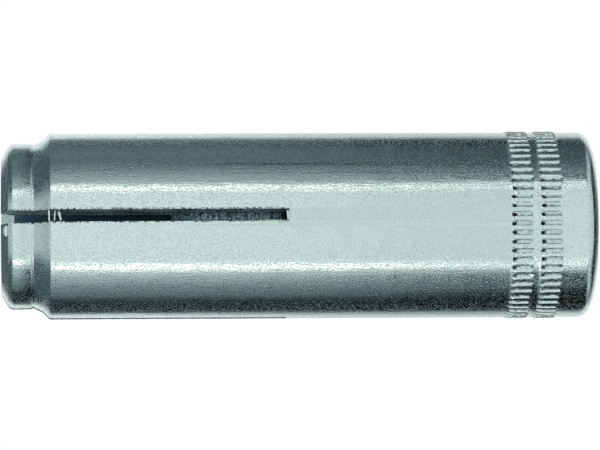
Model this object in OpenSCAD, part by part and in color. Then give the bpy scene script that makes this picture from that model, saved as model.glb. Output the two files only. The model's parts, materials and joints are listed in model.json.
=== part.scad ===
// Drop-in anchor: a slotted steel sleeve with an internal thread, and the expander plug that waits inside it.
// The sleeve stands on its threaded mouth, and +Z runs along its axis to the slotted end.

/* [Sleeve] */
// Overall length
sleeve_len = 50; // [45:0.5:60]
// Wall round the plain bore, which with it makes the outside a close fit in a 16 mm hole
sleeve_wall = 2.6; // [2.2:0.05:3.5]
// Height of the sloping edge round the mouth
mouth_edge_h = 0.7; // [0.5:0.05:1]
// Width of that edge, seen along the axis
mouth_edge_w = 1.2; // [0.8:0.05:1.3]
// Radius that softens the two corners of the mouth's edge
mouth_edge_r = 0.5; // [0.1:0.05:0.6]

/* [Thread and bores] */
// Nominal diameter of the metric thread
thread_d = 12; // [10:1:20]
// Pitch of the thread
thread_pitch = 1.75; // [1.25:0.25:2.5]
// Depth of the threaded stretch, from the mouth
thread_depth = 20; // [16:0.5:22]
// How far the countersink opens past the thread, on the radius
countersink_extra = 0.2; // [0.1:0.05:0.4]
// How much wider the plain bore is than the thread's crests, on the diameter
bore_relief = 0.4; // [0.34:0.02:0.8]
// Wall round the narrow bore that the plug is driven into
narrow_wall = 4.15; // [3.85:0.05:4.75]
// Length of the narrow bore, from the slotted end to the shoulder
narrow_bore_len = 14.5; // [12:0.5:17]
// Length of the tapered shoulder between the two bores
shoulder_len = 1.6; // [1:0.1:3]
// Length of the flare where the narrow bore opens
flare_len = 1.1; // [0.6:0.1:2]
// How far the flare opens, on the radius
flare_w = 0.9; // [0.5:0.1:1.2]

/* [Slotted end] */
// How far the ring round the end is set in from the sleeve's outside, beside the groove
ring_step = 0.9; // [0.75:0.05:0.95]
// How much wider the ring is at the end face than beside the groove, on the radius
ring_flare = 0.1; // [0.05:0.01:0.2]
// Length of the ring, from the end face to the groove
ring_len = 2.7; // [2.25:0.05:4]
// Height of the sloping edge round the end face
end_edge_h = 0.75; // [0.5:0.05:1]
// Width of that edge, seen along the axis
end_edge_w = 1.3; // [0.9:0.05:1.4]
// Radius that softens the two corners of the end's edge
end_edge_r = 0.6; // [0.1:0.05:0.65]
// Length over which the ring's edge falls to the groove
ring_fall = 0.2; // [0.1:0.05:0.4]
// Depth of the groove behind the ring, from the sleeve's outside
groove_depth = 0.97; // [0.96:0.01:1.1]
// Radius at the groove's bottom
groove_fillet = 0.15; // [0.05:0.05:0.3]
// Length of the gentle slope that rises out of the groove
gentle_len = 0.8; // [0.6:0.05:1.2]
// How far the gentle slope rises
gentle_rise = 0.38; // [0.2:0.02:0.5]
// Length of the steep slope that follows it up to the body
steep_len = 0.58; // [0.5:0.02:1]
// Radius between the two slopes
slope_fillet = 0.4; // [0.1:0.1:0.8]
// Radius where the steep slope meets the body
body_edge_r = 0.8; // [0.2:0.1:0.9]

/* [Slots] */
// Saw cuts across the end, each of which makes two slots
saw_cuts = 2; // [1:1:3]
// Width of a slot
slot_w = 1.03; // [0.8:0.01:1.6]
// Length of a slot, measured along the outside
slot_len = 24; // [20:0.5:28]
// Diameter of the slitting saw, whose edge shapes the slot's closed end
saw_d = 63; // [50:1:100]

/* [Knurl] */
// Distance from tooth to tooth round the sleeve
knurl_pitch = 0.776; // [0.7:0.002:1.2]
// Knurled bands
knurl_bands = 2; // [1:1:3]
// Distance from the mouth to the first band
knurl_start = 3.2; // [2:0.05:4]
// Width of a band
knurl_w = 1.7; // [1:0.1:2]
// Distance from the start of one band to the start of the next
knurl_step = 2.4; // [2.3:0.1:4]
// How far the teeth stand out of the sleeve
knurl_rise = 0.09; // [0.05:0.01:0.2]
// Depth of the grooves between the teeth, from their crests
knurl_depth = 0.17; // [0.12:0.01:0.3]
// Width of a groove where it opens between two crests
knurl_gap = 0.44; // [0.3:0.02:0.5]
// Width of a groove at its floor
knurl_floor = 0.1; // [0.04:0.02:0.16]
// How far the grooves run on past the band
knurl_runout = 0.12; // [0.05:0.01:0.2]

/* [Expander plug] */
// Overall length of the plug
plug_len = 9.35; // [8:0.05:12]
// How much smaller the plug is than the thread's crests that it passes, on the diameter
plug_play = 0.1; // [0.04:0.02:0.3]
// Gap between the plug's nose and the shoulder, square to both
seat_gap = 0.03; // [0.02:0.01:0.1]
// Bevel round the plug's tail
tail_bevel = 0.3; // [0.1:0.05:0.6]

/* [Hidden] */
$fn = 128;

// Straight stretches that stand for one rounded corner
arc_steps = 8;
// How far a cut runs out past the surface that it opens
past = 1;
// Where the first saw cut lies, turned from X
first_cut_turn = 45;

// The crests of a metric thread in a hole lie this share of the pitch inside its nominal diameter
crest_share = 1.0825;
thread_crest_r = (thread_d - crest_share * thread_pitch) / 2;
countersink_r = thread_d / 2 + countersink_extra;
bore_r = thread_crest_r + bore_relief / 2;
sleeve_r = bore_r + sleeve_wall;
narrow_r = sleeve_r - narrow_wall;
flare_r = narrow_r + flare_w;
ring_r = sleeve_r - ring_step;
end_r = ring_r + ring_flare;
groove_r = sleeve_r - groove_depth;

ring_z = sleeve_len - ring_len;
gentle_top_z = ring_z - gentle_len;
body_top_z = gentle_top_z - steep_len;
shoulder_top_z = sleeve_len - narrow_bore_len;
shoulder_z = shoulder_top_z - shoulder_len;

knurl_crest_r = sleeve_r + knurl_rise;
knurl_root_r = knurl_crest_r - knurl_depth;
knurl_teeth = round(2 * PI * sleeve_r / knurl_pitch);

saw_r = saw_d / 2;
saw_z = sleeve_len - slot_len + sqrt(saw_r * saw_r - sleeve_r * sleeve_r);

plug_r = thread_crest_r - plug_play / 2;
plug_tail_z = shoulder_top_z - plug_len;
// The nose runs beside the shoulder: this is the seat gap measured across the axis
shoulder_run = bore_r - narrow_r;
seat_gap_r = seat_gap * sqrt(shoulder_run * shoulder_run + shoulder_len * shoulder_len) / shoulder_len;
nose_tip_r = narrow_r - seat_gap_r;
nose_z = shoulder_top_z - (plug_r - nose_tip_r) * shoulder_len / shoulder_run;

function unit(v) = v / norm(v);

// The points that round the corner "at" between its two neighbours with radius r
function fillet(before, at, after, r) =
    let (
        u = unit(before - at),
        v = unit(after - at),
        half = acos(u * v) / 2,
        centre = at + unit(u + v) * r / sin(half),
        first = at + u * r / tan(half) - centre,
        last = at + v * r / tan(half) - centre,
        start = atan2(first.y, first.x),
        turn = (atan2(last.y, last.x) - start + 540) % 360 - 180
    )
    [for (i = [0 : arc_steps]) let (a = start + turn * i / arc_steps) centre + r * [cos(a), sin(a)]];

// A closed outline of [radius, height, corner radius] points, where a corner radius of 0 stays sharp
function rounded(points) =
    let (n = len(points), at = [for (p = points) [p.x, p.y]])
    [
        for (i = [0 : n - 1])
            each points[i].z == 0 ? [at[i]] : fillet(at[(i + n - 1) % n], at[i], at[(i + 1) % n], points[i].z)
    ];

// The lowest point of a knurled band
function knurl_z(band) = knurl_start + band * knurl_step;

// One groove of the knurl as seen along the axis, drawn beside +X and opened beyond the crests
function knurl_groove() =
    let (
        flank = (knurl_gap - knurl_floor) / 2 / knurl_depth,
        outer_r = knurl_crest_r + past,
        outer_w = knurl_floor / 2 + flank * (outer_r - knurl_root_r)
    )
    [[knurl_root_r, -knurl_floor / 2], [outer_r, -outer_w], [outer_r, outer_w], [knurl_root_r, knurl_floor / 2]];

// What lathe and press leave of the sleeve's outside, with each band standing proud before its grooves
module sleeve_blank() {
    bands = [
        for (i = [0 : knurl_bands - 1])
            each [
                [sleeve_r, knurl_z(i), 0],
                [knurl_crest_r, knurl_z(i) + knurl_rise, 0],
                [knurl_crest_r, knurl_z(i) + knurl_w - knurl_rise, 0],
                [sleeve_r, knurl_z(i) + knurl_w, 0]
            ]
    ];
    outline = concat(
        [
            [0, 0, 0],
            [sleeve_r - mouth_edge_w, 0, mouth_edge_r],
            [sleeve_r, mouth_edge_h, mouth_edge_r]
        ],
        bands,
        [
            [sleeve_r, body_top_z, body_edge_r],
            [groove_r + gentle_rise, gentle_top_z, slope_fillet],
            [groove_r, ring_z, groove_fillet],
            [ring_r, ring_z + ring_fall, groove_fillet],
            [end_r, sleeve_len - end_edge_h, end_edge_r],
            [end_r - end_edge_w, sleeve_len, end_edge_r],
            [0, sleeve_len, 0]
        ]
    );
    rotate_extrude() polygon(rounded(outline));
}

// The whole bore, from the countersunk mouth to the flare at the slotted end
module bore() {
    rotate_extrude()
        polygon([
            [0, -past],
            [countersink_r + past, -past],
            [thread_crest_r, countersink_r - thread_crest_r],
            [thread_crest_r, thread_depth],
            [bore_r, thread_depth + bore_r - thread_crest_r],
            [bore_r, shoulder_z],
            [narrow_r, shoulder_top_z],
            [narrow_r, sleeve_len - flare_len],
            [flare_r, sleeve_len],
            [flare_r, sleeve_len + past],
            [0, sleeve_len + past]
        ]);
}

// The slitting saw at the end of its cuts, which all cross on the axis, the first of them midway between X and Y
module saw_passes() {
    for (i = [0 : saw_cuts - 1])
        rotate([0, 0, first_cut_turn + i * 180 / saw_cuts])
            translate([0, 0, saw_z])
                rotate([90, 0, 0])
                    cylinder(r = saw_r, h = slot_w, center = true);
}

// The grooves that cut one band into teeth
module knurl_cuts(band) {
    translate([0, 0, knurl_z(band) - knurl_runout])
        linear_extrude(knurl_w + 2 * knurl_runout)
            for (i = [0 : knurl_teeth - 1])
                rotate(i * 360 / knurl_teeth) polygon(knurl_groove());
}

module sleeve() {
    color("lightgray")
        difference() {
            sleeve_blank();
            bore();
            saw_passes();
            for (band = [0 : knurl_bands - 1])
                knurl_cuts(band);
        }
}

// The plug waits in the plain bore with its tapered nose against the shoulder
module expander_plug() {
    color("slategray")
        rotate_extrude()
            polygon([
                [0, plug_tail_z],
                [plug_r - tail_bevel, plug_tail_z],
                [plug_r, plug_tail_z + tail_bevel],
                [plug_r, nose_z],
                [nose_tip_r, shoulder_top_z],
                [0, shoulder_top_z]
            ]);
}

sleeve();
expander_plug();
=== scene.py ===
# %% [markdown]
# # A drop-in anchor in zinc-plated steel
#
# A drop-in anchor is a steel sleeve that is pushed into a drilled hole. Its mouth has a thread for a bolt,
# and its far end is sawn into four legs. A plug waits inside, and a hammer drives it down the narrowing
# bore to spread the legs.
#
# The construction comes as a finished frame, in metres, standing on its mouth with +Z along the axis. This
# lesson dresses it: it turns a finer sleeve and plug on the same sizes, presses the knurl, saws the slots,
# cuts the thread, and gives the steel its bright plated skin.

# %% Load the frame
import json
from math import asin, atan2, cos, hypot, pi, radians, sin, sqrt, tan

import bmesh
import bpy
from mathutils import Matrix, Vector, noise


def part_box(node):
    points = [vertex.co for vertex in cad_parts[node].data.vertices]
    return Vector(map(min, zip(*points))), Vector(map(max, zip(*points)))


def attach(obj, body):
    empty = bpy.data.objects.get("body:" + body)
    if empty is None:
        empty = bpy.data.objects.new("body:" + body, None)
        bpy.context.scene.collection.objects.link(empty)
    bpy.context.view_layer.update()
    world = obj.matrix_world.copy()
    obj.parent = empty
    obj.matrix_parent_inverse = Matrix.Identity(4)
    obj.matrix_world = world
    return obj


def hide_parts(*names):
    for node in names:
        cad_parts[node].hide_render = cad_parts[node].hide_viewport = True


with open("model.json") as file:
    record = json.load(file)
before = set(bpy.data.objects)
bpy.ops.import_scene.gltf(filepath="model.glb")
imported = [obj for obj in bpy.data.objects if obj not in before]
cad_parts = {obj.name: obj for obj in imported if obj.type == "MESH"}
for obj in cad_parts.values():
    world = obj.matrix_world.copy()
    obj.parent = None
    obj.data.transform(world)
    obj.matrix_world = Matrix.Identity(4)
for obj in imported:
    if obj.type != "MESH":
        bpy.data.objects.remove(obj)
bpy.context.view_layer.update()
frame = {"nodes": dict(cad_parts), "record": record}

print("nodes:", sorted(frame["nodes"]))

# %% [markdown]
# ## Sizes
#
# Anything that has to fit is read from the frame, so that the dressed anchor can't drift from the built
# one. The smaller sizes are the turner's, in millimetres. The meshes are modelled in millimetres too,
# because Blender's merge and bevel distances behave better at that scale, and each one is brought to metres
# when it is finished.

# %% Sizes of the sleeve
mm = 0.001
mounts = {mount["name"]: mount["dims"] for mount in frame["record"]["mounts"]}
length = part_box("sleeve")[1].z / mm
body_r = mounts["drilled_hole"]["r_mm"]
knurl_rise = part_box("sleeve")[1].x / mm - body_r
crest_r = mounts["bolt_thread"]["r_mm"]
countersink_r = 6.2
bore_r = crest_r + 0.2
narrow_r = body_r - 4.15
flare_r = narrow_r + 0.9

thread_depth = 20
shoulder_top_z = length - 14.5
shoulder_z = shoulder_top_z - 1.6
flare_z = length - 1.1

mouth_edge_w, mouth_edge_h = 1.2, 0.55
end_edge_w, end_edge_h, end_edge_r = 1.3, 0.75, 0.6
ring_r = body_r - 0.87
end_r = ring_r + 0.03
ring_z = length - 2.7
ring_fall_z = ring_z + 0.2
groove_r = body_r - 0.97
slope_kink_r = groove_r + 0.38
slope_kink_z = ring_z - 0.8
body_top_z = slope_kink_z - 0.58
print(f"sleeve {length:.2f} mm long, {2 * body_r:.2f} mm across, knurl {knurl_rise:.3f} mm proud")

# %% [markdown]
# ## Turning
#
# A turned part is one closed outline, spun round the axis. Blender's spin operator does just that. The
# outline is sharp at first, and the corners that the tool or the tumbling barrel rounded are bevelled
# afterwards, ring by ring: a bevel meets both sides smoothly, and its width is easy to change.
#
# 640 steps round the axis give ten to each of the 64 teeth of the knurl, and make the polished side a true
# curve.

# %% A lathe: spin an outline, and round its corners
on_spot = 1e-3


def turn(outline, steps):
    """A bmesh, in millimetres, that spins a closed outline of (radius, height) points round Z."""
    blank = bmesh.new()
    corners = [blank.verts.new((r, 0, z)) for r, z in outline]
    sides = [blank.edges.new(pair) for pair in zip(corners, corners[1:] + corners[:1])]
    bmesh.ops.spin(
        blank,
        geom=corners + sides,
        cent=(0, 0, 0),
        axis=(0, 0, 1),
        dvec=(0, 0, 0),
        angle=2 * pi,
        steps=steps,
        use_merge=True,
        use_normal_flip=False,
        use_duplicate=False,
    )
    bmesh.ops.remove_doubles(blank, verts=blank.verts, dist=1e-5)
    bmesh.ops.recalc_face_normals(blank, faces=blank.faces)
    return blank


def round_ring(blank, r, z, radius, segments):
    """Rounds the turned corner at radius r and height z."""
    def on_ring(vert):
        return abs(hypot(vert.co.x, vert.co.y) - r) < on_spot and abs(vert.co.z - z) < on_spot

    ring = [edge for edge in blank.edges if all(on_ring(vert) for vert in edge.verts)]
    fold = ring[0].calc_face_angle()
    bmesh.ops.bevel(
        blank,
        geom=ring,
        offset=radius * tan(fold / 2),
        offset_type="OFFSET",
        segments=segments,
        profile=0.5,
        affect="EDGES",
        clamp_overlap=True,
        material=-1,
    )


# %% [markdown]
# ## The sleeve's blank
#
# The outline runs up the outside, from the mouth to the slotted end, and down the bore. Where the knurl
# will be pressed it has a point every tenth of a millimetre, because those rows of vertices are moved in
# and out later.

# %% Turn the sleeve's blank
knurl_starts = (3.15, 5.55)
knurl_w = 1.7
knurl_margin = 0.25
knurl_row = 0.1


def rows(start, end, step):
    """Heights from start to end, about one step apart."""
    count = round((end - start) / step)
    return [start + (end - start) * i / count for i in range(count + 1)]


knurl_rows = [
    z
    for start in knurl_starts
    for z in rows(start - knurl_margin, start + knurl_w + knurl_margin, knurl_row)
]
outside = [
    (countersink_r, 0),
    (body_r - mouth_edge_w, 0),
    (body_r, mouth_edge_h),
    *[(body_r, z) for z in knurl_rows],
    (body_r, body_top_z),
    (slope_kink_r, slope_kink_z),
    (groove_r, ring_z),
    (ring_r, ring_fall_z),
    (end_r, length - end_edge_h),
    (end_r - end_edge_w, length),
]
inside = [
    (flare_r, length),
    (narrow_r, flare_z),
    (narrow_r, shoulder_top_z),
    (bore_r, shoulder_z),
    (bore_r, thread_depth + bore_r - crest_r),
    (crest_r, thread_depth),
    (crest_r, countersink_r - crest_r),
]
columns = 640
sleeve_blank = turn(outside + inside, columns)

# Each corner's radius and height, how far it is rounded, and in how many facets
for r, z, radius, segments in (
    (body_r - mouth_edge_w, 0, 0.3, 4),
    (body_r, mouth_edge_h, 1.0, 12),
    (body_r, body_top_z, 0.3, 5),
    (slope_kink_r, slope_kink_z, 0.4, 3),
    (groove_r, ring_z, 0.15, 3),
    (ring_r, ring_fall_z, 0.15, 3),
    (end_r, length - end_edge_h, end_edge_r, 8),
    (end_r - end_edge_w, length, end_edge_r, 6),
):
    round_ring(sleeve_blank, r, z, radius, segments)
print("blank:", len(sleeve_blank.faces), "faces")

# %% [markdown]
# ## The knurl
#
# Two bands of straight teeth keep the anchor from turning in its hole. They are pressed, not cut: a toothed
# roller pushes a row of pockets into the steel, and what it pushes aside rises between them. So the crests
# stand a little proud of the sleeve and the pockets' floors lie a little below it. The roller's teeth are
# worn, so a pocket starts softly at its toe, ends in a sharper and deeper heel on one side, and is torn
# here and there.
#
# The spun rows already have ten vertices to a tooth, so pressing is only a matter of moving each of them in
# or out. Noise that depends on the tooth shifts a whole pocket, and noise that depends on the place tears
# its surface.
# Blender starts its noise vectors from the clock, so a seed makes it press the same knurl in every run.

# %% Press the knurl
teeth = 64
tooth_turn = 2 * pi / teeth
pocket_depth = 0.17
pocket_half_w = 0.24
pocket_curve = 2.6
heel_len, heel_depth = 0.38, 1.5
heel_side, heel_fade = 0.1, 0.12
shortest_toe, toe_wear = 0.06, 0.25
crest_run = 0.2
tear, crest_tear, tear_scale = 0.05, 0.01, 7
pocket_wobble = 0.14
raggedness, ragged_scale = 0.12, 60
wear_scale = 2
knurl_seed = 1
noise.seed_set(knurl_seed)


def ramp(value, low, high):
    """0 up to low, 1 from high on, and smooth between."""
    t = min(max((value - low) / (high - low), 0), 1)
    return t * t * (3 - 2 * t)


def pressed_radius(vert, start):
    """The radius that the roller leaves at a vertex of a band that begins at height start."""
    angle = atan2(vert.co.y, vert.co.x)
    tooth = round(angle / tooth_turn)
    across = (angle - tooth * tooth_turn) * body_r
    wobble = noise.noise_vector(Vector((tooth % teeth * 3.7, start * 5, 0))) * pocket_wobble
    ragged = noise.noise(Vector((cos(angle) * ragged_scale, sin(angle) * ragged_scale, start))) * raggedness
    wear = noise.noise(Vector((cos(angle) * wear_scale, sin(angle) * wear_scale, start * 3))) + 0.5
    bottom = start + wobble.x * 0.6 + ragged * 0.5
    top = start + knurl_w + wobble.y + ragged
    end = start + knurl_w
    z = vert.co.z
    crest = ramp(z, start - crest_run, start + crest_run) * (1 - ramp(z, end - crest_run, end + crest_run))
    toe_run = shortest_toe + toe_wear * min(max(wear, 0), 1)
    reach = ramp(z, bottom - 0.05, bottom + toe_run) * (1 - ramp(z, top - 0.06, top + 0.08))
    on_side = ramp(heel_side - across, 0, heel_fade)
    heel = ramp(z, top - heel_len, top - heel_fade) * on_side * heel_depth
    pocket = max(1 - (abs(across) / pocket_half_w) ** pocket_curve, 0) * (1 + wobble.z * 1.5 + heel)
    torn = noise.noise(vert.co * tear_scale) * (tear * pocket + crest_tear)
    return body_r + knurl_rise * crest + (torn - pocket_depth * pocket) * reach


pressed = 0
for vert in sleeve_blank.verts:
    radius = hypot(vert.co.x, vert.co.y)
    if abs(radius - body_r) > on_spot:
        continue
    for start in knurl_starts:
        if start - knurl_margin < vert.co.z < start + knurl_w + knurl_margin:
            new_radius = pressed_radius(vert, start)
            vert.co.x *= new_radius / radius
            vert.co.y *= new_radius / radius
            pressed += 1
print("knurl:", pressed, "vertices moved")

# %% [markdown]
# ## Sawn slots and the thread
#
# A slitting saw of 63 mm, fed in from the end, cuts right across the sleeve, and a second pass at a right
# angle makes the four legs. Its round edge leaves the slots longer outside than inside. The thread is a V
# with flat crests that winds up the bore: spin with a rise at every step makes the tool that cuts it.
#
# Both are cut with Blender's exact Boolean, because the real ones are cut from solid steel as well.

# %% Make the cutters
slot_w = 1.03
slot_len = 24
saw_r = 31.5
saw_z = length - slot_len + sqrt(saw_r**2 - body_r**2)
saw_turns = (radians(45), radians(135))
thread_pitch = 1.75
thread_root_r = 6.0
flank = tan(radians(30))
thread_steps = 72


def saw_disc(turn_angle):
    """A slitting saw's disc on the axis, with its plane turned by turn_angle from X."""
    disc = bmesh.new()
    bmesh.ops.create_circle(disc, cap_ends=True, cap_tris=False, segments=360, radius=saw_r)
    bmesh.ops.translate(disc, verts=disc.verts, vec=(0, 0, -slot_w / 2))
    made = bmesh.ops.extrude_face_region(disc, geom=disc.faces[:])
    raised = [item for item in made["geom"] if isinstance(item, bmesh.types.BMVert)]
    bmesh.ops.translate(disc, verts=raised, vec=(0, 0, slot_w))
    bmesh.ops.recalc_face_normals(disc, faces=disc.faces)
    upright = Matrix.Rotation(turn_angle, 4, "Z") @ Matrix.Rotation(pi / 2, 4, "X")
    bmesh.ops.transform(disc, matrix=Matrix.Translation((0, 0, saw_z)) @ upright, verts=disc.verts)
    return disc


def thread_tool():
    """The helical groove between the thread's crests, from below the mouth to the end of the thread."""
    tool = bmesh.new()
    inner_r = crest_r - 0.3
    root_half = thread_pitch / 16
    inner_half = root_half + (thread_root_r - inner_r) * flank
    start_z = -thread_pitch
    turns = (thread_depth - thread_pitch - start_z) / thread_pitch
    corners = [
        tool.verts.new((inner_r, 0, start_z - inner_half)),
        tool.verts.new((thread_root_r, 0, start_z - root_half)),
        tool.verts.new((thread_root_r, 0, start_z + root_half)),
        tool.verts.new((inner_r, 0, start_z + inner_half)),
    ]
    face = tool.faces.new(corners)
    steps = round(turns * thread_steps)
    bmesh.ops.spin(
        tool,
        geom=corners + face.edges[:] + [face],
        cent=(0, 0, 0),
        axis=(0, 0, 1),
        dvec=(0, 0, thread_pitch / thread_steps),
        angle=2 * pi * steps / thread_steps,
        steps=steps,
        use_merge=False,
        use_normal_flip=False,
        use_duplicate=False,
    )
    bmesh.ops.recalc_face_normals(tool, faces=tool.faces)
    return tool


# %% Cut the slots and the thread
def to_object(blank, name):
    """A scene object from a bmesh, still in millimetres."""
    mesh = bpy.data.meshes.new(name)
    blank.to_mesh(mesh)
    blank.free()
    made = bpy.data.objects.new(name, mesh)
    bpy.context.scene.collection.objects.link(made)
    return made


def cut(piece, tool):
    """Takes the tool's shape out of the piece, and removes the tool."""
    step = piece.modifiers.new("cut", "BOOLEAN")
    step.operation = "DIFFERENCE"
    step.solver = "EXACT"
    step.object = tool
    bpy.context.view_layer.update()
    result = bpy.data.meshes.new_from_object(piece.evaluated_get(bpy.context.evaluated_depsgraph_get()))
    old = piece.data
    piece.modifiers.clear()
    piece.data = result
    bpy.data.meshes.remove(old)
    bpy.data.objects.remove(tool)
    result.name = piece.name


def finish_piece(piece, sharp_angle):
    """Brings a piece from millimetres to metres, and shades it smooth up to sharp_angle."""
    piece.data.transform(Matrix.Scale(mm, 4))
    piece.data.shade_smooth()
    piece.data.set_sharp_from_angle(angle=sharp_angle)
    piece.data.update()
    print(piece.name, len(piece.data.polygons), "faces")


sleeve = to_object(sleeve_blank, "plated_sleeve")
for tool in [saw_disc(saw_turn) for saw_turn in saw_turns] + [thread_tool()]:
    cut(sleeve, to_object(tool, "tool"))

# %% [markdown]
# ## Which tool made each face
#
# The plated outside is bright and smooth, a sawn face is torn and dull, and the bore is dull, with a dark
# colour that is painted shade. So each face gets the number of its finish. The saw leaves two flat sides and
# the round end of the slot. What else looks inwards belongs to the bore, up to the flare where it opens,
# which is plated as the outside is. The pockets of the knurl are duller as well, and their colour is painted
# darker the deeper
# they are, as painted shade: a vertex attribute says how deep they are.

# %% Sort the faces by finish
PLATED, SAWN, BORED = range(3)
touch = 0.01


def is_sawn(face, saw_turn):
    """Whether the saw that was turned by saw_turn left this face."""
    saw_axis = Vector((-sin(saw_turn), cos(saw_turn), 0))
    saw_line = Vector((cos(saw_turn), sin(saw_turn), 0))
    across = abs(face.center.dot(saw_axis))
    rim_distance = abs(hypot(face.center.dot(saw_line), face.center.z - saw_z) - saw_r)
    on_side = abs(across - slot_w / 2) < touch and abs(face.normal.dot(saw_axis)) > 0.99
    on_rim = across < slot_w / 2 and rim_distance < 2 * touch and abs(face.normal.z) > 0.5
    return on_side or on_rim


def finish_number(face):
    """The number of the finish that a face of the cut sleeve has."""
    if any(is_sawn(face, saw_turn) for saw_turn in saw_turns):
        return SAWN
    outwards = Vector((face.center.x, face.center.y, 0)).normalized()
    in_bore = face.normal.dot(outwards) < -0.1 and face.center.z < flare_z
    return BORED if in_bore else PLATED


for face in sleeve.data.polygons:
    face.material_index = finish_number(face)
pressed_in = sleeve.data.attributes.new("pressed_in", "FLOAT", "POINT")
for vert in sleeve.data.vertices:
    in_knurl = knurl_starts[0] - knurl_margin < vert.co.z < knurl_starts[-1] + knurl_w + knurl_margin
    depth = (body_r - hypot(vert.co.x, vert.co.y)) / pocket_depth
    pressed_in.data[vert.index].value = min(max(depth, 0), 1) if in_knurl else 0
numbers = [face.material_index for face in sleeve.data.polygons]
print("faces plated, sawn and bored:", [numbers.count(number) for number in (PLATED, SAWN, BORED)])

# %% Hand the sleeve over
finish_piece(sleeve, radians(24))
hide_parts("sleeve")
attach(sleeve, "root")

# %% [markdown]
# ## The expander plug
#
# A short turned plug with a tapered nose sits against the shoulder where the bore narrows. Its tail has a
# small bevel, and it shows through the slots. It is spun as the sleeve is, as a tube with a hole that is
# far too fine to see, because an outline that touched the axis would pinch its ends together there.

# %% Turn the plug
plug_low, plug_high = (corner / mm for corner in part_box("expander_plug"))
plug_r = plug_high.x
tail_bevel = 0.3
nose_gap = 0.03
axis_hole_r = 0.002
nose_slope = (bore_r - narrow_r) / (shoulder_top_z - shoulder_z)
nose_tip_r = narrow_r - nose_gap * hypot(1, nose_slope)
nose_z = plug_high.z - (plug_r - nose_tip_r) / nose_slope
plug_outline = [
    (axis_hole_r, plug_low.z),
    (plug_r - tail_bevel, plug_low.z),
    (plug_r, plug_low.z + tail_bevel),
    (plug_r, nose_z),
    (nose_tip_r, plug_high.z),
    (axis_hole_r, plug_high.z),
]
plug_blank = turn(plug_outline, 192)
for r, z, radius in ((plug_r, nose_z, 0.2), (nose_tip_r, plug_high.z, 0.1)):
    round_ring(plug_blank, r, z, radius, 3)
plug = to_object(plug_blank, "expander_cone")
finish_piece(plug, radians(24))
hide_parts("expander_plug")
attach(plug, "root")

# %% [markdown]
# ## Burrs
#
# The saw leaves a few thin curls of steel. In the slot that faces the camera three slivers lie across just
# behind the ring's groove, and one more lies near the slot's closed end. One curl is folded over the end
# edge beside the slot, and a long one lies along the slot's side. A sliver is an edge spun a little way
# round and given a thickness, and a curl was flattened so much that a squashed ball has its shape.

# %% Curl the burrs
sliver_r = 1.2
sliver_t = 0.05
sunk_in = 0.01
near_slot_turn = radians(-45)
burr_parts = bmesh.new()


def add_burr(burr, place):
    """Puts one burr in its place among the others."""
    bmesh.ops.transform(burr, matrix=place, verts=burr.verts)
    bmesh.ops.recalc_face_normals(burr, faces=burr.faces)
    spare = bpy.data.meshes.new("spare")
    burr.to_mesh(spare)
    burr.free()
    burr_parts.from_mesh(spare)
    bpy.data.meshes.remove(spare)


def sliver(width):
    """A thin strip, bent outwards, that reaches from wall to wall of a slot."""
    strip = bmesh.new()
    half_turn = asin((slot_w / 2 + sunk_in) / sliver_r)
    ends = [strip.verts.new((sliver_r, 0, side * width / 2)) for side in (-1, 1)]
    line = strip.edges.new(ends)
    bmesh.ops.rotate(strip, cent=(0, 0, 0), matrix=Matrix.Rotation(-half_turn, 3, "Z"), verts=strip.verts)
    bmesh.ops.spin(
        strip,
        geom=ends + [line],
        cent=(0, 0, 0),
        axis=(0, 0, 1),
        dvec=(0, 0, 0),
        angle=2 * half_turn,
        steps=10,
        use_merge=False,
        use_normal_flip=False,
        use_duplicate=False,
    )
    bmesh.ops.solidify(strip, geom=strip.faces[:], thickness=sliver_t)
    return strip


def curl(place, half_sizes, turn_angle):
    """A flattened curl, at a place beside the axis that is then turned by turn_angle."""
    ball = bmesh.new()
    bmesh.ops.create_icosphere(ball, subdivisions=4, radius=1)
    squash = Matrix.Diagonal((*half_sizes, 1))
    add_burr(ball, Matrix.Rotation(turn_angle, 4, "Z") @ Matrix.Translation(place) @ squash)


# Each sliver's height on the sleeve, width, lean in degrees, and depth below the outside
for z, width, lean, depth in (
    (45.97, 0.12, 2, 0.12),
    (45.5, 0.1, -4, 0.18),
    (45.08, 0.17, 14, 0.3),
    (26.1, 0.2, 5, 0.2),
):
    middle = Matrix.Translation((body_r - sliver_r - depth, 0, z)) @ Matrix.Rotation(radians(lean), 4, "X")
    add_burr(sliver(width), Matrix.Rotation(near_slot_turn, 4, "Z") @ middle)
curl((6.55, 0, 49.56), (0.17, 0.5, 0.24), radians(-55))
curl((7.72, -0.47, 27.5), (0.08, 0.07, 1.35), near_slot_turn)
burrs = to_object(burr_parts, "slot_burrs")
finish_piece(burrs, radians(40))
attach(burrs, "root")

# %% [markdown]
# ## A small language for finishes
#
# A finish is a tree of nodes. Written as Python sums it is far easier to read, so one class wraps a node's
# output and turns +, -, * and the like into Math nodes, and one method adds every other kind of node.

# %% Shader sums
class Wire:
    """One output of a node, on which Python's own operators work."""

    def __init__(self, finish, socket):
        self.finish = finish
        self.socket = socket

    def math(self, operation, *values):
        """A Math node, on values that are numbers or wires."""
        inputs = dict(enumerate(values))
        return self.finish.node("ShaderNodeMath", {"operation": operation}, inputs)

    def __add__(self, other):
        return self.math("ADD", self, other)

    def __sub__(self, other):
        return self.math("SUBTRACT", self, other)

    def __mul__(self, other):
        return self.math("MULTIPLY", self, other)

    def __rsub__(self, other):
        return self.math("SUBTRACT", other, self)

    def __pow__(self, power):
        return self.math("POWER", self, power)

    def span(self, low, high, shape="LINEAR"):
        """0 at low, 1 at high, and held beyond both."""
        limits = {"Value": self, "From Min": low, "From Max": high}
        return self.finish.node("ShaderNodeMapRange", {"interpolation_type": shape}, limits)

    def toward(self, other, share):
        """Goes from this value to another as share goes from 0 to 1."""
        return self + (other - self) * share

    __radd__ = __add__
    __rmul__ = __mul__


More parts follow.
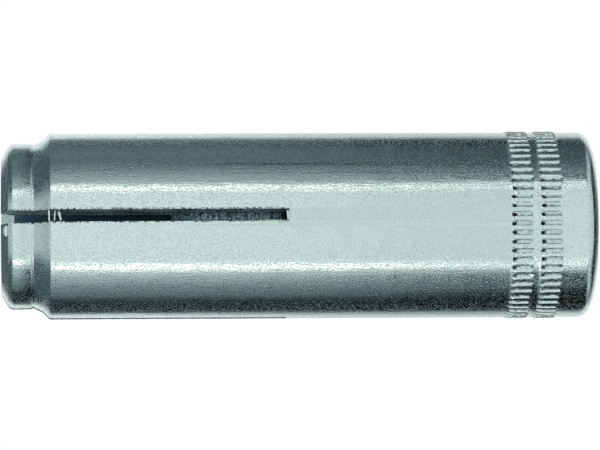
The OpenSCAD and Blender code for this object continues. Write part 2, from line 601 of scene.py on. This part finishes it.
class Finish:
    """The node tree of a material or a world."""

    def __init__(self, owner):
        owner.use_nodes = True
        self.tree = owner.node_tree
        self.tree.nodes.clear()

    def node(self, kind, settings, inputs, output=0):
        """Adds a node, sets it up, fills its inputs with values or wires, and returns one of its outputs."""
        made = self.tree.nodes.new(kind)
        for name, value in settings.items():
            if name == "stops":
                self.set_stops(made.color_ramp, value)
            else:
                setattr(made, name, value)
        for name, value in inputs.items():
            if isinstance(value, Wire):
                self.tree.links.new(value.socket, made.inputs[name])
            else:
                made.inputs[name].default_value = value
        return Wire(self, made.outputs[output]) if made.outputs else made

    def set_stops(self, band, stops):
        """Fills a colour ramp with (position, grey level) stops."""
        while len(band.elements) > 1:
            band.elements.remove(band.elements[-1])
        for i, (position, level) in enumerate(stops):
            stop = band.elements[0] if i == 0 else band.elements.new(position)
            stop.position = position
            stop.color = (level, level, level, 1)

    def mix(self, factor, a, b):
        """A colour between a and b."""
        return self.node("ShaderNodeMix", {"data_type": "RGBA"}, {"Factor": factor, 6: a, 7: b}, 2)

    def along(self, place, axis):
        """How far a place or a direction goes along an axis."""
        return self.node("ShaderNodeVectorMath", {"operation": "DOT_PRODUCT"}, {0: place, 1: axis}, "Value")


# %% [markdown]
# ## The plated steel
#
# Bright zinc is a cool grey metal with a fine grain: the steel was drawn and pickled, so it has a close
# stipple with pinholes, marks along the axis, and a slow waviness that bends the mirrored edges of the soft
# box. All this is too fine to model, so it is one height that goes into the bump, with a little of it in
# the colour, and some of the grain mirrors less than the rest. The patterns read Object coordinates, so
# they sit still on the steel from any side.
#
# The saw and the drill leave other surfaces: torn, dull and darker, and the bore's dark colour is painted
# shade. The saw's marks run nearly to the axis, down the wall of the slot, so the sawn pattern reads a place
# that hardly changes that way. Beside the slots the plated edge is darker in small spots.

# %% The grain of the steel
grain_scale, pit_scale, line_scale = 7500.0, 8200.0, 4200.0
speck_scale, wave_scale, torn_scale, spot_scale = 9000.0, 420.0, 3200.0, 6000.0
down_the_wall = 0.14


def noise_at(finish, place, scale, detail=1.0):
    """Noise between 0 and 1, with features of about one over its scale, in metres."""
    kind = {"Vector": place, "Scale": scale, "Detail": detail, "Roughness": 0.55}
    return finish.node("ShaderNodeTexNoise", {}, kind)


def grain(finish, place, drawn, streak, wave):
    """The height of a pickled surface, in its own small unit, and its fine grain, pits, lines and specks."""
    fine = noise_at(finish, place, grain_scale)
    pits = noise_at(finish, place, pit_scale, 0.0).span(0.58, 0.7)
    drawn_place = finish.node("ShaderNodeMapping", {}, {"Vector": place, "Scale": drawn})
    lines = noise_at(finish, drawn_place, line_scale, 3.0)
    specks = noise_at(finish, place, speck_scale).span(0.5, 0.66) + lines.span(0.5, 0.75) * 0.6
    waves = noise_at(finish, place, wave_scale)
    return fine - pits * 1.6 + lines * streak + waves * wave, fine, pits, lines, specks


def along_spoke(finish, place):
    """Places that hardly change down the wall of a slot, and that change with height as before."""
    spoke = finish.node("ShaderNodeVectorMath", {"operation": "MULTIPLY"}, {0: place, 1: (1, 1, 0)})
    radius = finish.node("ShaderNodeVectorMath", {"operation": "LENGTH"}, {0: spoke}, "Value")
    rise = finish.along(place, (0, 0, 1))
    return finish.node("ShaderNodeCombineXYZ", {}, {"X": radius * down_the_wall, "Z": rise})


def slot_edges(finish, place):
    """1 in the dark spots along the edges of the slots, and 0 elsewhere."""
    close = 0.0
    for saw_turn in saw_turns:
        across = finish.along(place, (-sin(saw_turn), cos(saw_turn), 0))
        from_wall = across.math("ABSOLUTE", across) - slot_w * mm / 2
        close = from_wall.span(0.16 * mm, 0.06 * mm) * from_wall.span(-0.05 * mm, 0.0) + close
    slot_end = (length - slot_len) * mm
    beside_slot = finish.along(place, (0, 0, 1)).span(slot_end - 0.1 * mm, slot_end + 0.1 * mm)
    return close * beside_slot * noise_at(finish, place, spot_scale).span(0.5, 0.56)


# %% A steel surface
def rough_steel(
    name,
    colour,
    roughness,
    metallic,
    grain_depth,
    contrast,
    pit_shade,
    drawn=(1.0, 1.0, 0.06),
    streak=1.5,
    wave=5.0,
    pocket=0.0,
    dull=0.0,
    spread=(0.5, 1.5),
    sawn_marks=False,
    torn_edges=0.0,
):
    """A steel surface with a grain.

    The grain's depth is in metres. Contrast, pit shade and the dark spots along the slots' edges change the
    colour with the grain, and spread gives the darkest and palest colour as shares of the plain one. Drawn
    squeezes the place that the lines read, so a small share there draws them out. Pocket roughens the knurl's
    pockets and paints shade into them, darker where they are deeper, and dull takes that much of the mirror
    away from the specks.
    """
    material = bpy.data.materials.new(name)
    finish = Finish(material)
    place = finish.node("ShaderNodeTexCoord", {}, {}, "Object")
    if sawn_marks:
        place = along_spoke(finish, place)
    height, fine, pits, lines, specks = grain(finish, place, drawn, streak, wave)
    deep = finish.node("ShaderNodeAttribute", {"attribute_name": "pressed_in"}, {}, "Fac")
    rough = height + deep * noise_at(finish, place, torn_scale, 3.0) * (pocket * 70)
    relief = {"Strength": 1.0, "Distance": grain_depth, "Height": rough, "Filter Width": 0.1}
    bump = finish.node("ShaderNodeBump", {}, relief)
    plain = (1 - spread[0]) / (spread[1] - spread[0])
    # Painted shade: the knurl's pockets are painted darker the deeper they are pressed in.
    shade = (fine + lines - 1.0) * contrast + plain - pits * pit_shade - deep * deep * pocket * 3
    # The plated surface beside the slots' edges is darkened in small noisy spots.
    if torn_edges:
        shade = shade - slot_edges(finish, place) * torn_edges
    darkest, palest = [(*[min(c * share, 1) for c in colour], 1) for share in spread]
    surface = {
        "Base Color": finish.mix(shade.span(0.0, 1.0), darkest, palest),
        "Metallic": metallic - specks * dull,
        "Roughness": roughness + pits * 0.1 + deep * pocket,
        "Normal": bump,
    }
    shader = finish.node("ShaderNodeBsdfPrincipled", {}, surface)
    finish.node("ShaderNodeOutputMaterial", {}, {"Surface": shader})
    print(name, "has", len(finish.tree.nodes), "nodes")
    return material


# %% Make the finishes
colours = {slot["slot"]: slot["base_color"] for slot in frame["record"]["materials"]}
plated = rough_steel(
    "zinc_plated_steel",
    colours["zinc_plated_steel"],
    roughness=0.1,
    metallic=1.0,
    grain_depth=0.55e-5,
    contrast=0.09,
    pit_shade=0.06,
    pocket=0.18,
    dull=0.12,
    spread=(0.1, 1.49),
    torn_edges=0.7,
)
sawn = rough_steel(
    "sawn_steel",
    (0.42, 0.66, 0.9),
    roughness=0.5,
    metallic=0.2,
    grain_depth=3e-5,
    contrast=3.0,
    pit_shade=0.6,
    spread=(0.03, 1.7),
    sawn_marks=True,
)
# The bore's dark navy colour is painted shade: it stands in for the shade deep inside the bore, on steel that
# is only duller than the outside.
bored = rough_steel(
    "bored_steel_painted_shade",
    (0.09, 0.18, 0.26),
    roughness=0.45,
    metallic=0.8,
    grain_depth=1e-5,
    contrast=0.5,
    pit_shade=0.1,
)
plug_steel = rough_steel(
    "plug_steel",
    (0.36, 0.52, 0.62),
    roughness=0.4,
    metallic=0.5,
    grain_depth=4e-5,
    contrast=2.6,
    pit_shade=0.6,
    drawn=(0.08, 0.08, 1.0),
    spread=(0.05, 1.7),
)
for material in (plated, sawn, bored):
    sleeve.data.materials.append(material)
burrs.data.materials.append(plated)
plug.data.materials.append(plug_steel)

# %% [markdown]
# ## The camera
#
# The anchor stands on its mouth, and the photograph shows it lying, so the camera is rolled by a right
# angle: +Z is to the left. It looks from nearly the height of the slotted end, with a long lens.

# %% Set up the camera
camera_azimuth = radians(38.05)
camera_elevation = radians(3.3)
camera_distance = 395 * mm
aim_z = 24.68 * mm
aim_up = 0.065 * mm
roll = radians(-0.22)

out = Vector((sin(camera_azimuth), -cos(camera_azimuth), 0))
up = Vector((cos(camera_azimuth), sin(camera_azimuth), 0))
back = out * cos(camera_elevation) + Vector((0, 0, sin(camera_elevation)))
right = up.cross(back)
camera_data = bpy.data.cameras.new("camera")
camera_data.lens = 279.3
camera_data.sensor_width = 36
camera_data.clip_start = 0.01
camera = bpy.data.objects.new("camera", camera_data)
bpy.context.scene.collection.objects.link(camera)
bpy.context.scene.camera = camera
facing_anchor = Matrix((right, up, back)).transposed().to_4x4()
aim = Vector((0, 0, aim_z)) + up * aim_up
stand = Matrix.Translation(aim + back * camera_distance)
camera.matrix_world = stand @ facing_anchor @ Matrix.Rotation(roll, 4, "Z")
print("camera:", [round(c / mm) for c in camera.location], "mm")

# %% [markdown]
# ## The studio
#
# Polished metal is a picture of the room. This one is a white cove with a broad soft box in front of the
# anchor and two dark flags, above and below it, which draw its round side. They are bands of the world, set
# out by their angle round the axis from the camera's side, so they follow no camera. Towards the mouth the
# flags come closer and are darker.
#
# The sloping edges mirror what lies over the slotted end and under the mouth. The ceiling is pale toward
# the camera's side and dark behind it and off the middle, and the ground has a dark strip between a pale
# back and a pale front. Camera rays see plain white.

# %% The bands round the anchor
def bands_at_slotted_end():
    """(angle from the camera's side in degrees, brightness) of the room beside the slotted end."""
    lower_cove = [(-180, 1.0), (-156, 1.15), (-149, 1.1), (-144.5, 1.05), (-140, 0.6)]
    lower_flag = [(-136, 0.12), (-131, 0.01), (-112, 0.03), (-105, 0.03)]
    lower_glow = [(-100, 0.12), (-96, 0.22), (-80, 0.35)]
    soft_box = [(-62, 0.72), (-56, 1.1), (-55, 1.5), (-53, 2.3), (-49.5, 2.3), (-47, 1.1)]
    upper_edge = [(45, 1.1), (46.5, 1.9), (49.5, 1.9), (52.5, 1.25)]
    upper_flag = [(55.5, 0.52), (66, 0.46), (74, 0.27), (90, 0.19), (105, 0.24), (120, 0.13), (136, 0.18)]
    upper_cove = [(141, 0.6), (146, 1.12), (180, 1.05)]
    return lower_cove + lower_flag + lower_glow + soft_box + upper_edge + upper_flag + upper_cove


def bands_at_mouth():
    """The same beside the mouth, where the flags are darker and have sharper edges."""
    lower_cove = [(-180, 1.0), (-147, 0.92), (-141, 0.68), (-135, 0.15)]
    lower_flag = [(-130, 0.03), (-122, 0.0), (-98, 0.0), (-90.5, 0.03), (-86, 0.17), (-78, 0.14), (-66, 0.05)]
    soft_box = [(-61.5, 0.18), (-57.5, 0.8), (-53, 1.2), (-50, 1.5), (-44, 1.25), (-40, 1.05)]
    upper_edge = [(43, 1.04), (46, 1.2), (50, 1.4), (54.5, 1.2)]
    dark_line = [(56.5, 0.1), (61, 0.08)]
    upper_flag = [(64, 0.26), (72, 0.19), (80, 0.11), (112, 0.09), (118, 0.04), (134, 0.02)]
    upper_cove = [(141, 0.55), (147, 1.0), (180, 1.0)]
    return lower_cove + lower_flag + soft_box + upper_edge + dark_line + upper_flag + upper_cove


# %% Light the studio
world = bpy.data.worlds.new("studio")
bpy.context.scene.world = world
studio = Finish(world)
direction = studio.node("ShaderNodeTexCoord", {}, {}, "Generated")


def band_levels(bands, place):
    """The brightness of a list of bands at a place from 0 to 1."""
    return studio.node("ShaderNodeValToRGB", {"stops": bands}, {"Fac": place})


def round_axis(bands):
    """Bands given by their angle, as stops from 0 to 1."""
    return [(angle / 360 + 0.5, level) for angle, level in bands]


toward_camera, rise, height = [studio.along(direction, axis) for axis in (out, up, (0, 0, 1))]
facing = toward_camera * 0.5 + 0.5
aside = rise.math("ABSOLUTE", rise)
turned_by = rise.math("ARCTAN2", rise, toward_camera) * (0.5 / pi) + 0.5

# Beside the mouth the upper flag's edge leans away from the soft box, and the lower flag is nearly black.
mouth_reach = -0.12
edge_lean = -3 / 360
near_mouth = height.span(0.0, mouth_reach)
near_edge = turned_by.span(0.54, 0.62) * (1 - turned_by.span(0.68, 0.78))
around = turned_by + near_edge * near_mouth**4 * edge_lean
share = near_mouth.span(0.15, 0.6, "SMOOTHSTEP")
slotted_level = band_levels(round_axis(bands_at_slotted_end()), around)
mouth_level = band_levels(round_axis(bands_at_mouth()), around)
middle_dip = near_mouth * (1 - near_mouth) * 0.65
lower_gap = turned_by.span(0.122, 0.135) * (1 - turned_by.span(0.262, 0.275))
black_gap = lower_gap * near_mouth.span(0.6, 0.9) * 0.95
side_level = slotted_level.toward(mouth_level, share) * (1 - middle_dip) * (1 - black_gap)

# %% Add the ceiling and the ground
ceiling = [(0, 1.0), (0.055, 1.0), (0.09, 0.12), (0.3, 0.12), (0.39, 0.38), (0.46, 0.68), (1, 0.75)]
off_middle = (aside - toward_camera * 0.3).span(0.3, 0.55)
ceiling_level = band_levels(ceiling, facing).toward(0.11, off_middle)
ground = [(0, 0.75), (0.07, 0.75), (0.1, 0.03), (0.46, 0.02), (0.56, 0.9), (1, 1.0)]
ground_level = band_levels(ground, facing).toward(0.9, aside.span(0.5, 0.7))
with_ceiling = side_level.toward(ceiling_level, height.span(0.28, 0.5))
level = with_ceiling.toward(ground_level, height.span(-0.45, -0.7))

# Dark parts of the room are bluer, and the soft box's bright edges are warmer.
glare = level.span(1.2, 2.0)
cool = {"Red": level**1.14 * 0.96 + glare * 0.2, "Green": level, "Blue": level**0.97}
tinted = studio.node("ShaderNodeCombineColor", {}, cool)
to_camera = studio.node("ShaderNodeLightPath", {}, {}, "Is Camera Ray")
mirrored = studio.node("ShaderNodeBackground", {}, {"Color": tinted, "Strength": 1.0})
backdrop = studio.node("ShaderNodeBackground", {}, {"Color": (1, 1, 1, 1), "Strength": 1.0})
shown = studio.node("ShaderNodeMixShader", {}, {0: to_camera, 1: mirrored, 2: backdrop})
studio.node("ShaderNodeOutputWorld", {}, {"Surface": shown})
print("studio:", len(studio.tree.nodes), "nodes")

# %% [markdown]
# ## The floor
#
# The anchor stands on a pale floor, which is no part of it. To the camera the floor glows nearly white, and
# a little plain paint on top makes it white where the light falls freely, so that it is greyer only in the
# anchor's shadow. The metal looks through the floor at the studio.

# %% Lay the floor
floor_mesh = bmesh.new()
bmesh.ops.create_circle(floor_mesh, cap_ends=True, cap_tris=False, segments=96, radius=3.0)
floor = to_object(floor_mesh, "floor")
paint = bpy.data.materials.new("floor_paint")
pale = Finish(paint)
seen = pale.node("ShaderNodeLightPath", {}, {}, "Is Camera Ray")
mirrored_ray = pale.node("ShaderNodeLightPath", {}, {}, "Is Glossy Ray")
glow = pale.node("ShaderNodeEmission", {}, {"Color": (1, 1, 1, 1), "Strength": seen * 0.88})
matt = pale.node("ShaderNodeBsdfDiffuse", {}, {"Color": (0.4, 0.4, 0.4, 1)})
clear = pale.node("ShaderNodeBsdfTransparent", {}, {})
lit = pale.node("ShaderNodeAddShader", {}, {0: matt, 1: glow})
surface = pale.node("ShaderNodeMixShader", {}, {0: mirrored_ray, 1: lit, 2: clear})
pale.node("ShaderNodeOutputMaterial", {}, {"Surface": surface})
floor.data.materials.append(paint)
print("floor:", round(max(floor.dimensions), 2), "m across")

# %% Finish
view_settings = bpy.context.scene.view_settings
view_settings.view_transform = "Standard"
